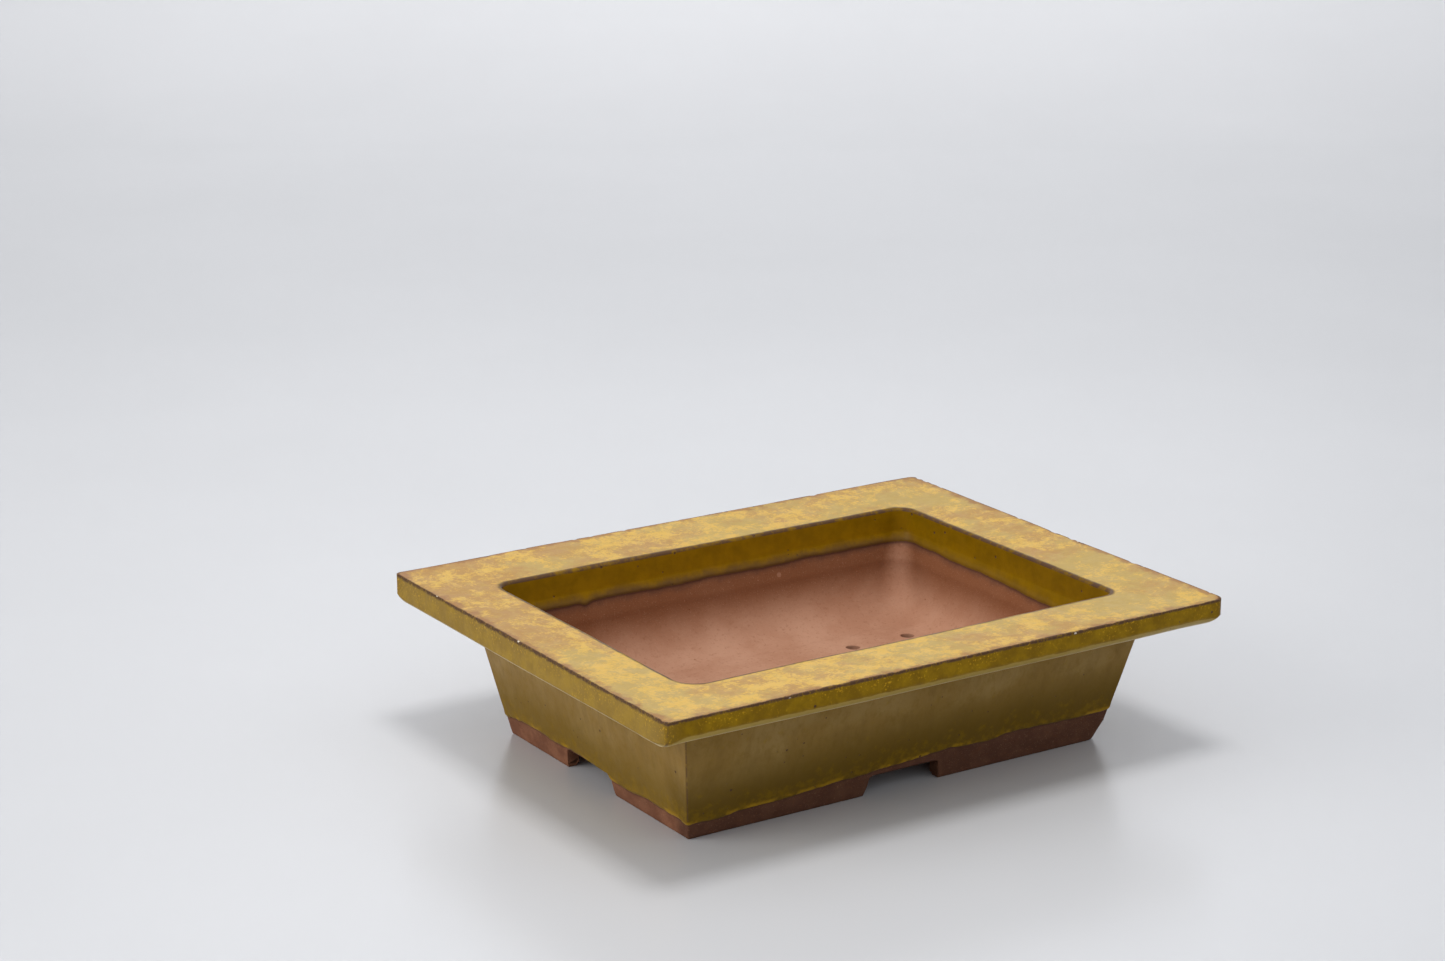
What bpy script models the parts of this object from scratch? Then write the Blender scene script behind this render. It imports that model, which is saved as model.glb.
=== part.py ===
"""Rectangular bonsai pot, built from slabs of clay the way a potter builds one.

Metres, +Z up. The pot is longest along X, and its origin is on the ground under
the middle. The floor slab stands on four corner feet, the four walls stand on
the floor slab, a coil of clay fills each inner seam, and four mitred strips lie
on the walls as the rim.
"""

import math

import bmesh
import bpy
from mathutils import Vector

# Driving dimensions
RIM_LENGTH = 0.250
RIM_WIDTH = 0.200
HEIGHT = 0.062
RIM_THICKNESS = 0.0115
RIM_DISH = 0.0013  # the rim's top falls this much from its outer edge to the opening
RIM_CHAMFER = 0.004  # on the lower outer edge
OPENING_LENGTH = 0.192
OPENING_WIDTH = 0.136

WALL_TOP_LENGTH = 0.208  # outer size where the walls meet the rim
WALL_TOP_WIDTH = 0.1565
BASE_LENGTH = 0.189  # outer size on the ground
BASE_WIDTH = 0.130
INNER_TAPER = 0.2  # the inner faces lean in this much for each unit down

FLOOR_TOP = 0.019
FOOT_HEIGHT = 0.008
FOOT_THICKNESS = 0.006
NOTCH_WIDTH = 0.029  # gap between two feet
NOTCH_FLARE = 0.0015  # the gap is this much wider to each side on the ground
SIDE_NOTCH_SHIFT = 0.0035  # the end walls' notches sit this far behind the middle

LONG_SEAM_DEPTH = 0.019  # how far the coils along the long walls reach over the floor
SHORT_SEAM_DEPTH = 0.0125  # and along the short walls
SEAM_HEIGHT = 0.020
SEAM_LIP = 0.001  # thickness of the coils at their two thin edges
SEAM_STEPS = 6

DRAIN_RADIUS = 0.011
DRAIN_OFFSET = 0.060
WIRE_HOLE_RADIUS = 0.00275
WIRE_PAIR_HALF = 0.0135  # half the distance between the two holes of a pair
WIRE_ROW = 0.033  # distance of the wire holes from the long centre line

JOINT_GAP = 0.0003
ARRIS = 0.0008  # rounding of the edges
ARRIS_SEGMENTS = 2
ARRIS_ANGLE = math.radians(30)

RIM_UNDERSIDE = HEIGHT - RIM_THICKNESS
WALL_LOW = FLOOR_TOP + JOINT_GAP
WALL_HIGH = RIM_UNDERSIDE - JOINT_GAP
SLAB_LOW = FOOT_HEIGHT + JOINT_GAP

# Colours as linear RGB, with roughness
RIM_GLAZE = ((0.47, 0.33, 0.10), 0.42)
WALL_GLAZE = ((0.20, 0.14, 0.045), 0.30)
BARE_CLAY = ((0.27, 0.12, 0.075), 0.85)


def clear_scene():
    for obj in list(bpy.data.objects):
        bpy.data.objects.remove(obj, do_unlink=True)


def make_collection(name, hidden=False):
    collection = bpy.data.collections.new(name)
    bpy.context.scene.collection.children.link(collection)
    collection.hide_render = hidden
    return collection


def make_material(name, look):
    colour, roughness = look
    material = bpy.data.materials.new(name)
    material.use_nodes = True
    shader = material.node_tree.nodes["Principled BSDF"]
    shader.inputs["Base Color"].default_value = (*colour, 1.0)
    shader.inputs["Roughness"].default_value = roughness
    shader.inputs["Metallic"].default_value = 0.0
    material.diffuse_color = (*colour, 1.0)
    return material


def add_object(name, mesh_builder, collection):
    bmesh.ops.recalc_face_normals(mesh_builder, faces=mesh_builder.faces)
    mesh = bpy.data.meshes.new(name)
    mesh_builder.to_mesh(mesh)
    mesh_builder.free()
    obj = bpy.data.objects.new(name, mesh)
    collection.objects.link(obj)
    return obj


def finish_piece(obj, look, rounded=True):
    obj.data.materials.append(make_material(f"{obj.name}_clay", look))
    if not rounded:
        return
    bevel = obj.modifiers.new("arris", "BEVEL")
    bevel.width = ARRIS
    bevel.segments = ARRIS_SEGMENTS
    bevel.limit_method = "ANGLE"
    bevel.angle_limit = ARRIS_ANGLE


# The walls' planes: each gives a distance from the middle at the height z.


def outer_x(z):
    return (BASE_LENGTH + (WALL_TOP_LENGTH - BASE_LENGTH) * z / RIM_UNDERSIDE) / 2


def outer_y(z):
    return (BASE_WIDTH + (WALL_TOP_WIDTH - BASE_WIDTH) * z / RIM_UNDERSIDE) / 2


def inner_x(z):
    return OPENING_LENGTH / 2 - INNER_TAPER * (RIM_UNDERSIDE - z)


def inner_y(z):
    return OPENING_WIDTH / 2 - INNER_TAPER * (RIM_UNDERSIDE - z)


def tapered_block(name, low, high, collection):
    """A box whose lower face is low and whose upper face is high, each (x0, x1, y0, y1, z)."""
    block = bmesh.new()
    bmesh.ops.create_cube(block, size=2.0)
    for vert in block.verts:
        x0, x1, y0, y1, z = high if vert.co.z > 0 else low
        vert.co = (x1 if vert.co.x > 0 else x0, y1 if vert.co.y > 0 else y0, z)
    return add_object(name, block, collection)


def lofted_outline(name, first, second, collection):
    """A flat outline, first, drawn out to a matching outline, second."""
    loft = bmesh.new()
    outline = loft.faces.new([loft.verts.new(point) for point in first])
    grown = bmesh.ops.extrude_face_region(loft, geom=[outline])
    for vert in grown["geom"]:
        if isinstance(vert, bmesh.types.BMVert):
            gaps = [(vert.co - Vector(point)).length for point in first]
            vert.co = second[gaps.index(min(gaps))]
    return add_object(name, loft, collection)


def floor_slab(parts, cutters):
    low = (-outer_x(SLAB_LOW), outer_x(SLAB_LOW), -outer_y(SLAB_LOW), outer_y(SLAB_LOW))
    high = (-outer_x(FLOOR_TOP), outer_x(FLOOR_TOP), -outer_y(FLOOR_TOP), outer_y(FLOOR_TOP))
    slab = tapered_block("floor_slab", (*low, SLAB_LOW), (*high, FLOOR_TOP), parts)
    for index, (x, y, radius) in enumerate(floor_holes()):
        cutter = hole_cutter(f"cut_hole_{index}", x, y, radius, cutters)
        cut = slab.modifiers.new(f"hole_{index}", "BOOLEAN")
        cut.operation = "DIFFERENCE"
        cut.solver = "EXACT"
        cut.object = cutter
    finish_piece(slab, BARE_CLAY, rounded=False)


def floor_holes():
    """(x, y, radius) of the two drain holes and of a pair of wire holes beside each, front and back."""
    holes = []
    for end in (-1, 1):
        holes.append((end * DRAIN_OFFSET, 0.0, DRAIN_RADIUS))
        for row in (-1, 1):
            for pair in (-1, 1):
                x = end * DRAIN_OFFSET + pair * WIRE_PAIR_HALF
                holes.append((x, row * WIRE_ROW, WIRE_HOLE_RADIUS))
    return holes


def hole_cutter(name, x, y, radius, cutters):
    segments = 32 if radius > WIRE_HOLE_RADIUS else 16
    cylinder = bmesh.new()
    bmesh.ops.create_cone(
        cylinder, cap_ends=True, segments=segments, radius1=radius, radius2=radius, depth=FLOOR_TOP
    )
    obj = add_object(name, cylinder, cutters)
    obj.location = (x, y, (SLAB_LOW + FLOOR_TOP) / 2)
    obj.hide_render = True
    obj.display_type = "WIRE"
    return obj


def long_wall(name, side, parts):
    """The front (side -1) or back (side 1) wall, which covers the ends of the two short ones."""
    ends = []
    for z in (WALL_LOW, WALL_HIGH):
        y_faces = sorted((side * outer_y(z), side * inner_y(z)))
        ends.append((-outer_x(z), outer_x(z), *y_faces, z))
    finish_piece(tapered_block(name, *ends, parts), WALL_GLAZE)


def short_wall(name, side, parts):
    """The left (side -1) or right (side 1) wall, which fits between the two long ones."""
    ends = []
    for z in (WALL_LOW, WALL_HIGH):
        x_faces = sorted((side * outer_x(z), side * inner_x(z)))
        reach = inner_y(z) - JOINT_GAP
        ends.append((*x_faces, -reach, reach, z))
    finish_piece(tapered_block(name, *ends, parts), WALL_GLAZE)


def seam_inward(share, depth):
    """Distance in from the wall's foot: the depth itself at share 0, and the coil's thin upper edge at share 1."""
    lean = INNER_TAPER * SEAM_HEIGHT
    return depth - share * (depth + lean - SEAM_LIP)


def seam_section():
    """The coil's section as (share, height over the floor), with a hollow face from share 0 to share 1."""
    lean = INNER_TAPER * SEAM_HEIGHT
    spans = [depth + lean - SEAM_LIP for depth in (LONG_SEAM_DEPTH, SHORT_SEAM_DEPTH)]
    low_back = min(1 - (JOINT_GAP + lean - SEAM_LIP) / span for span in spans)
    high_back = min(1 + (SEAM_LIP - JOINT_GAP) / span for span in spans)
    points = [(low_back, 0.0), (0.0, 0.0)]
    for step in range(SEAM_STEPS + 1):
        angle = math.pi / 2 * step / SEAM_STEPS
        points.append((math.sin(angle), SEAM_LIP + (SEAM_HEIGHT - SEAM_LIP) * (1 - math.cos(angle))))
    points.append((high_back, SEAM_HEIGHT))
    return points


def seam_coil(name, along_x, side, parts):
    """The coil in the seam between the floor and one wall, mitred to its two neighbours."""
    half_length, half_width = inner_x(WALL_LOW), inner_y(WALL_LOW)
    outlines = []
    for end in (-1, 1):
        outline = []
        for share, up in seam_section():
            x = half_length - seam_inward(share, SHORT_SEAM_DEPTH)
            y = half_width - seam_inward(share, LONG_SEAM_DEPTH)
            if along_x:
                x, y = end * (x - JOINT_GAP), side * y
            else:
                x, y = side * x, end * (y - JOINT_GAP)
            outline.append((x, y, WALL_LOW + up))
        outlines.append(outline)
    finish_piece(lofted_outline(name, *outlines, parts), BARE_CLAY, rounded=False)


def rim_strip(name, along_x, side, parts):
    """One strip of the rim, mitred to its two neighbours, with its top falling to the opening."""
    strip = bmesh.new()
    bmesh.ops.create_cube(strip, size=2.0)
    for vert in strip.verts:
        across_sign, along_sign = (vert.co.y, vert.co.x) if along_x else (vert.co.x, vert.co.y)
        outer = across_sign * side > 0
        half_x = RIM_LENGTH / 2 if outer else OPENING_LENGTH / 2
        half_y = RIM_WIDTH / 2 if outer else OPENING_WIDTH / 2
        across, along = (half_y, half_x) if along_x else (half_x, half_y)
        along -= JOINT_GAP
        x, y = (along_sign * along, side * across) if along_x else (side * across, along_sign * along)
        top = HEIGHT if outer else HEIGHT - RIM_DISH
        vert.co = (x, y, top if vert.co.z > 0 else RIM_UNDERSIDE)
    axis = 1 if along_x else 0
    half = RIM_WIDTH / 2 if along_x else RIM_LENGTH / 2
    lower_edge = [
        edge
        for edge in strip.edges
        if all(abs(v.co[axis]) > half - ARRIS and v.co.z < HEIGHT - ARRIS for v in edge.verts)
    ]
    bmesh.ops.bevel(strip, geom=lower_edge, offset=RIM_CHAMFER, segments=2, profile=0.5, affect="EDGES")
    finish_piece(add_object(name, strip, parts), RIM_GLAZE)


def corner_foot(name, end, side, parts):
    """An L-shaped foot under one corner, ending at the notches."""
    shift = side * SIDE_NOTCH_SHIFT
    outlines = []
    for z, flare in ((0.0, NOTCH_FLARE), (FOOT_HEIGHT, 0.0)):
        far_x, far_y = outer_x(z), outer_y(z)
        in_x = outer_x(0.0) - FOOT_THICKNESS
        in_y = outer_y(0.0) - FOOT_THICKNESS
        notch_x = NOTCH_WIDTH / 2 + flare
        notch_y = NOTCH_WIDTH / 2 + flare + shift
        corners = [(notch_x, far_y), (far_x, far_y), (far_x, notch_y)]
        corners += [(in_x, notch_y), (in_x, in_y), (notch_x, in_y)]
        outlines.append([(end * x, side * y, z) for x, y in corners])
    finish_piece(lofted_outline(name, *outlines, parts), BARE_CLAY)


def main():
    clear_scene()
    parts = make_collection("bonsai_pot")
    cutters = make_collection("cutters", hidden=True)

    floor_slab(parts, cutters)
    for side, front_back, left_right in ((-1, "front", "left"), (1, "back", "right")):
        long_wall(f"wall_{front_back}", side, parts)
        short_wall(f"wall_{left_right}", side, parts)
        seam_coil(f"seam_coil_{front_back}", True, side, parts)
        seam_coil(f"seam_coil_{left_right}", False, side, parts)
        rim_strip(f"rim_{front_back}", True, side, parts)
        rim_strip(f"rim_{left_right}", False, side, parts)
        for end, corner in ((-1, "left"), (1, "right")):
            corner_foot(f"foot_{front_back}_{corner}", end, side, parts)


main()
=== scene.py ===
"""Looks of the bonsai pot: a slab-built stoneware tray with a mottled yellow glaze.

The pot's whole skin is one smooth grid of points: closed rings that run around the
pot, one above another, from the feet up the outside, over the rim, and down the inside
to the floor. Each clay part is cut out of that skin as a closed solid of its own, so
neighbours meet exactly. Lengths are in millimetres until a mesh is made.
"""

import math

import bpy
import numpy as np
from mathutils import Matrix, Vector
from mathutils.geometry import delaunay_2d_cdt, tessellate_polygon


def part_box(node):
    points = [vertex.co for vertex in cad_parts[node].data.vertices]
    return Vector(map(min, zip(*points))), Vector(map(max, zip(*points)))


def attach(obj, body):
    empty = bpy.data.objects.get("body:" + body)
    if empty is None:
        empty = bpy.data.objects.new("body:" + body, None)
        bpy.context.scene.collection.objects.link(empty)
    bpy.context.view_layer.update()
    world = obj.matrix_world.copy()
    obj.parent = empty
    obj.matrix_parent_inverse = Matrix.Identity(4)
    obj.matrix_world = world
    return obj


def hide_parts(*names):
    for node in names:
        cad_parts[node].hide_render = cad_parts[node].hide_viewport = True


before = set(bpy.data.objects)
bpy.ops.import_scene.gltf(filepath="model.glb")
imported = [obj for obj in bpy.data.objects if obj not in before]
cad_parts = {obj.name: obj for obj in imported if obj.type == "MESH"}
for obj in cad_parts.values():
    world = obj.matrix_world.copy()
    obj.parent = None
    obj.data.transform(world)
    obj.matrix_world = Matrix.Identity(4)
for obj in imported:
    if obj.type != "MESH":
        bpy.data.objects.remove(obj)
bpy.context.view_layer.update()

MM = 0.001


def cad_box(node):
    """The node's lowest and highest corner, in millimetres."""
    low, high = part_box(node)
    return np.array(low) / MM, np.array(high) / MM


# ---- measures from the CAD
# Four values always stand for the sides: front, right, back, left.
# Or for the corners: front left, front right, back right, back left.
FRONT, RIGHT, BACK, LEFT = range(4)
SIDE_NAMES = ("front", "right", "back", "left")
CORNER_NAMES = ("front_left", "front_right", "back_right", "back_left")
CORNER_SIGNS = np.array([(-1, -1), (1, -1), (1, 1), (-1, 1)], float)

CAD_ARRIS = 0.8
CAD_GAP = 0.3
rim_x = -cad_box("rim_left")[0][0]
rim_y = -cad_box("rim_front")[0][1]
rim_top = cad_box("rim_front")[1][2]
rim_low = cad_box("rim_front")[0][2]
opening_x = -cad_box("rim_left")[1][0]
opening_y = -cad_box("rim_front")[1][1]
slab_low, slab_high = cad_box("floor_slab")
floor_z = slab_high[2]
sole_z = slab_low[2] - CAD_GAP
wall_high = cad_box("wall_back")[1]
lean = (wall_high[:2] - slab_high[:2]) / (wall_high[2] - CAD_ARRIS - floor_z)
coil_x = cad_box("seam_coil_left")
coil_y = cad_box("seam_coil_front")
coil_top = coil_y[1][2]
inner_lean_x = (opening_x + coil_x[0][0] - CAD_GAP) / (rim_low - coil_top)
inner_lean_y = (opening_y + coil_y[0][1] - CAD_GAP) / (rim_low - coil_top)
flat_x = -coil_x[1][0]
flat_y = -coil_y[1][1]
notch_front = -cad_box("foot_front_left")[1][0]
notch_side = (cad_box("foot_front_left")[1][1], cad_box("foot_back_left")[0][1])

# ---- hand-made details
# Radii in plan, per corner.
WALL_CORNER = 1.5
RIM_CORNERS = np.array([2.2, 4.0, 3.0, 2.4])
OPENING_CORNERS = np.array([8.5, 5.0, 6.5, 5.5])
FLOOR_CORNERS = np.array([13.0, 12.0, 12.0, 12.0])
FLAT_MARGIN = 1.5  # keeps the coils clear of the wire holes' worn edges
# Edges in section.
TOP_ARRIS = 0.8
INNER_ARRIS = 1.8
RIM_FALL = 1.3  # from the outer edge to the opening
LOWER_IN = np.array([5.7, 3.5, 4.2, 1.3])  # the worn lower edge of the rim, inwards
LOWER_UP = np.array([4.9, 3.4, 4.0, 1.5])  # and upwards
WORN_POWER = 1.35  # makes that edge fuller than a quarter ellipse
FILLET = 1.8  # between the wall and the rim
SLAB_EDGE = 0.8
HOLE_EDGE = 0.5
# The hidden bed of the coils inside the walls: a step out, then down into the floor slab.
BED_STEP, BED_FOOT, BED_DEPTH, BED_CORNER = 3.0, 5.0, 0.9, 4.0
FOOT_THICKNESS = 6.0
FOOT_EDGE = 1.3
FOOT_WORN = 4.2  # how much rounder the front right foot is at the ground
NOTCH_FLARE = 1.5
# The skin lies inside the CAD's by this much, and bare clay lies lower than glaze.
SKIN_IN = 0.5
GLAZE_STEP = 0.38
SOLE_SINK = 0.4
# Holes in the floor slab: one drain hole at each end, with two pairs of wire holes.
DRAIN_X, DRAIN_RADIUS = 60.0, 11.0
WIRE_X, WIRE_Y, WIRE_RADIUS = 13.5, 33.0, 2.75
# Rows of points are close together up to, and down to, these heights, where the glaze ends.
FINE_OUTSIDE, FINE_INSIDE = 15.0, 42.5
COIL_STEPS = 26
# Heights of the glaze's edge.
FRONT_GLAZE, FRONT_CLIMB, END_GLAZE, INNER_GLAZE = 7.0, 5.2, 7.9, 46.3
# Signed distance to the glaze's edge, as given to parts that are all bare or all glazed.
BARE, COVERED = -30.0, 30.0

# ---- noise


def lattice(ix, iy, iz, seed):
    """A repeatable value from 0 to 1 for each whole-number point."""
    mixed = (ix * 73856093) ^ (iy * 19349663) ^ (iz * 83492791) ^ (seed * 2654435761)
    mixed &= 0xFFFFFFFF
    mixed = ((mixed ^ (mixed >> 16)) * 0x45D9F3B) & 0xFFFFFFFF
    mixed = ((mixed ^ (mixed >> 16)) * 0x45D9F3B) & 0xFFFFFFFF
    return ((mixed ^ (mixed >> 16)) & 0xFFFFFF) / float(0xFFFFFF)


def noise(points, size, seed=0):
    """Smooth noise from -1 to 1, with bumps about size apart."""
    scaled = np.asarray(points, float) / size + 1000.0
    cell = np.floor(scaled).astype(np.int64)
    part = scaled - cell
    part = part * part * (3 - 2 * part)
    total = np.zeros(scaled.shape[:-1])
    for corner in range(8):
        step = np.array([corner & 1, (corner >> 1) & 1, corner >> 2])
        weight = np.prod(np.where(step, part, 1 - part), axis=-1)
        ix, iy, iz = np.moveaxis(cell + step, -1, 0)
        total += weight * lattice(ix, iy, iz, seed)
    return 2 * total - 1


def smooth(low, high, value):
    """A smooth step from 0 to 1, while the value goes from low to high."""
    share = np.clip((value - low) / (high - low), 0, 1)
    return share * share * (3 - 2 * share)


# ---- the track around the pot
ARC_STEPS = 6  # in half a corner
SIDE_STEPS = {FRONT: 250, RIGHT: 150, BACK: 190, LEFT: 200}
BLEND = 8.0  # the sides' profiles blend this far from each corner
NOMINAL = np.array([100.0, 125.0, 100.0, 125.0])


def make_track():
    """Columns around the loop, each with the corners it lies between and its normal."""
    columns, starts = [], [0]
    for side in range(4):
        after = (side + 1) % 4
        facing = math.pi / 2 * (side - 1)
        length = 2 * (NOMINAL[RIGHT] if side in (FRONT, BACK) else NOMINAL[FRONT])
        rows = []
        for step in range(ARC_STEPS):
            turn = math.pi / 4 * (1 - step / ARC_STEPS)
            rows.append((side, side, 0.0, facing - turn, 0.5 * step / ARC_STEPS))
        for step in range(SIDE_STEPS[side] + 1):
            along = step / SIDE_STEPS[side]
            rows.append((side, after, along, facing, 0.5 + along * length))
        for step in range(1, ARC_STEPS):
            turn = math.pi / 4 * step / ARC_STEPS
            travel = length + 1.0 - 0.5 * step / ARC_STEPS
            rows.append((after, after, 0.0, facing + turn, travel))
        for *values, travel in rows:
            own_start = smooth(-BLEND, BLEND, travel)
            own_end = smooth(-BLEND, BLEND, length + 1.0 - travel)
            weights = np.zeros(4)
            weights[side] = own_start + own_end - 1
            weights[side - 1] += 1 - own_start
            weights[after] += 1 - own_end
            columns.append((*values, weights))
        starts.append(len(columns))
    first, second, share, angle, weights = (np.array(column) for column in zip(*columns))
    return {
        "first": first,
        "second": second,
        "share": share,
        "normal": np.stack([np.cos(angle), np.sin(angle)], -1),
        "weights": weights,
        "starts": starts,
    }


def place(track, extents, heights, radii):
    """Ring points of each station, from extents and heights per side and radii per corner."""
    out_x = np.where(CORNER_SIGNS[:, 0] > 0, extents[:, [RIGHT]], extents[:, [LEFT]])
    out_y = np.where(CORNER_SIGNS[:, 1] > 0, extents[:, [BACK]], extents[:, [FRONT]])
    centre = np.stack([out_x - radii, out_y - radii], -1) * CORNER_SIGNS
    ends = []
    for corner in (track["first"], track["second"]):
        ends.append(centre[:, corner] + track["normal"] * radii[:, corner, None])
    share = track["share"][:, None]
    plan = (1 - share) * ends[0] + share * ends[1]
    z = heights @ track["weights"].T
    return np.concatenate([plan, z[..., None]], -1)


# ---- the profile


def per_side(x, y):
    return np.array([y, x, y, x])


def outer(z):
    """How far out the walls stand at a height."""
    return per_side(*(slab_high[:2] + lean * (z - floor_z)))


def inner(z):
    """How far out their inner faces stand."""
    drop = rim_low - z
    return per_side(opening_x - inner_lean_x * drop, opening_y - inner_lean_y * drop)


def quarter(steps, last=False):
    """Angles from 0 to a right angle, with or without the last."""
    return [math.pi / 2 * step / steps for step in range(steps + last)]


def spread(low, high, step):
    """Evenly spread values from low to high, without the last."""
    count = max(1, round(abs(high - low) / step))
    return [low + (high - low) * index / count for index in range(count)]


def make_profile():
    """Stations from the sole up the outside, over the rim and down inside, with marks at joints."""
    rows, zones, marks = [], [], {}

    def put(extent, height, radius, zone):
        rows.append([np.broadcast_to(value, 4) for value in (extent, height, radius)])
        zones.append(zone)

    fillet_low = rim_low - FILLET
    for rise in (0.0, 0.12, 0.4, 0.8):
        put(outer(sole_z + rise), sole_z + rise, WALL_CORNER, "wall")
    for z in [*spread(sole_z + 1.2, FINE_OUTSIDE, 0.45), *spread(FINE_OUTSIDE, floor_z, 1.0)]:
        put(outer(z), z, WALL_CORNER, "wall")
    marks["slab_top"] = len(rows)
    for z in spread(floor_z, fillet_low, 1.15):
        put(outer(z), z, WALL_CORNER, "wall")
    rim = per_side(rim_x, rim_y)
    start = outer(fillet_low)
    for turn in quarter(6):
        extent = start + FILLET * (1 - math.cos(turn))
        put(extent, fillet_low + FILLET * math.sin(turn), WALL_CORNER + 0.5 * turn, "wall")
    marks["wall_top"] = len(rows)
    start = start + FILLET
    edge = rim - LOWER_IN
    start_corner = WALL_CORNER + 0.8
    edge_corner = RIM_CORNERS + 0.4
    for share in spread(0, 1, 1 / 15):
        extent = start + (edge - start) * share
        radius = start_corner + (edge_corner - start_corner) * share
        put(extent, rim_low, radius, "under")
    for turn in quarter(11):
        grow = math.sin(turn) ** WORN_POWER
        rise = 1 - math.cos(turn) ** WORN_POWER
        put(edge + LOWER_IN * grow, rim_low + LOWER_UP * rise, edge_corner, "lower")
    face_low = rim_low + LOWER_UP
    face_high = rim_top - TOP_ARRIS
    for share in spread(0, 1, 1 / 10):
        put(rim, face_low + (face_high - face_low) * share, RIM_CORNERS, "face")
    for turn in quarter(5):
        extent = rim - TOP_ARRIS * (1 - math.cos(turn))
        put(extent, face_high + TOP_ARRIS * math.sin(turn), RIM_CORNERS, "arris")
    opening = per_side(opening_x, opening_y)
    start = rim - TOP_ARRIS
    end = opening + INNER_ARRIS
    for share in spread(0, 1, 1 / 30):
        extent = start + (end - start) * share
        radius = RIM_CORNERS + (OPENING_CORNERS + INNER_ARRIS - RIM_CORNERS) * share
        put(extent, rim_top - RIM_FALL * share, radius, "top")
    top_in = rim_top - RIM_FALL
    for turn in quarter(7):
        extent = opening + INNER_ARRIS * (1 - math.sin(turn))
        height = top_in - INNER_ARRIS * (1 - math.cos(turn))
        put(extent, height, OPENING_CORNERS + INNER_ARRIS * (1 - math.sin(turn)), "lip")
    for z in spread(top_in - INNER_ARRIS, rim_low, 0.9):
        put(opening, z, OPENING_CORNERS, "inside")
    marks["rim_inside"] = len(rows)
    deep_corner = OPENING_CORNERS + 2.5
    for z in [*spread(rim_low, FINE_INSIDE, 0.45), *spread(FINE_INSIDE, coil_top, 1.0)]:
        share = (rim_low - z) / (rim_low - coil_top)
        put(inner(z), z, OPENING_CORNERS + (deep_corner - OPENING_CORNERS) * share, "inside")
    marks["coil_top"] = len(rows)
    high = inner(coil_top)
    low = per_side(flat_x, flat_y) + FLAT_MARGIN
    for step in range(COIL_STEPS + 1):
        turn = math.pi / 2 * (1 - step / COIL_STEPS)
        extent = low + (high - low) * math.sin(turn)
        height = floor_z + (coil_top - floor_z) * (1 - math.cos(turn))
        radius = FLOOR_CORNERS + (deep_corner - FLOOR_CORNERS) * math.sin(turn)
        put(extent, height, radius, "inside")
    return [np.array(column) for column in zip(*rows)], np.array(zones), marks


def on_long_side(y):
    return np.abs(y) > slab_high[1] - 8


def notch_gap(points):
    """How far points on the outside lie in from the edges of their side's notch."""
    x, y = points[..., 0], points[..., 1]
    middle = sum(notch_side) / 2
    half = (notch_side[1] - notch_side[0]) / 2
    return np.where(on_long_side(y), notch_front - np.abs(x), half - np.abs(y - middle))


# ---- where the glaze ends


def outer_glaze_line(points):
    """Height of the glaze's lower edge on the outside: it climbs along the front, and wavers."""
    x, y = points[..., 0], points[..., 1]
    flat = np.stack([x, y, np.zeros_like(x)], -1)
    climb = FRONT_GLAZE + FRONT_CLIMB * smooth(-70, 25, x) * np.where(y < 0, 1.0, 0.55)
    ends = END_GLAZE + 1.0 * np.sin(y / 19.0) + 0.5 * np.sin(y / 7.3 + 1.0)
    base = np.where(on_long_side(y), climb, ends)
    return base + 0.8 * noise(flat, 17, 5) + 0.35 * noise(flat, 5, 6) + 0.18 * noise(flat, 2.2, 7)


def inner_glaze_line(points):
    """The same on the inside, with a sag at the right and one drip at the back."""
    x, y = points[..., 0], points[..., 1]
    flat = np.stack([x, y, np.zeros_like(x)], -1)
    sag = 2.6 * smooth(30, -60, y) * smooth(70, 86, x)
    drip = 1.1 * np.exp(-(((x + 58) / 2.2) ** 2)) * (y > 0)
    return INNER_GLAZE - sag - drip + 0.45 * noise(flat, 16, 8) + 0.22 * noise(flat, 5, 9)


def glaze_distance(points, is_inside):
    z = points[..., 2]
    outside = z - outer_glaze_line(points)
    inside = z - inner_glaze_line(points)
    return np.clip(np.where(is_inside, inside, outside), BARE, COVERED)


def relief(points, glaze, chips):
    """How far the surface stands in (negative) from its plain shape."""
    wave = 0.20 * noise(points, 55, 1) + 0.10 * noise(points, 21, 2) + 0.035 * noise(points, 7, 3)
    step = -GLAZE_STEP * (1 - smooth(-0.45, 0.45, glaze))
    bead = 0.14 * np.exp(-(((glaze - 1.1) / 0.9) ** 2))
    clay_marks = 0.05 * noise(points * np.array([0.35, 1, 1]), 3.0, 12) * smooth(0.5, -0.5, glaze)
    chipped = -0.42 * chips * smooth(0.42, 0.62, noise(points, 2.6, 4))
    return -SKIN_IN + wave + step + bead + clay_marks + chipped


# ---- the skin
track = make_track()
(extents, heights, radii), zones, marks = make_profile()
plain = place(track, extents, heights, radii)
COLUMNS = plain.shape[1]
station = np.arange(len(zones))


def grid_normals(points, closed):
    if closed:
        along = np.roll(points, -1, 1) - np.roll(points, 1, 1)
    else:
        along = np.gradient(points, axis=1)
    across = np.gradient(points, axis=0)
    normals = np.cross(along, across)
    return normals / np.maximum(np.linalg.norm(normals, axis=-1, keepdims=True), 1e-12)


def zone_mask(*names):
    return np.isin(zones, names)[:, None] * np.ones((1, COLUMNS))


def near_zone(name, reach):
    """1 in the zone, falling to 0 within reach millimetres of it, across the profile."""
    steps = np.linalg.norm(np.diff(plain[:, COLUMNS // 10], axis=0), axis=-1)
    travel = np.concatenate([[0], np.cumsum(steps)])
    own = travel[zones == name]
    away = np.maximum(np.maximum(own.min() - travel, travel - own.max()), 0)
    return np.clip(1 - away / reach, 0, 1)[:, None] * np.ones((1, COLUMNS))


def front_shade_share(points):
    """Painted shade: how far a point lies on the front, whose low walls and feet are darkened."""
    return smooth(-55, -62, points[..., 1])


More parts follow.
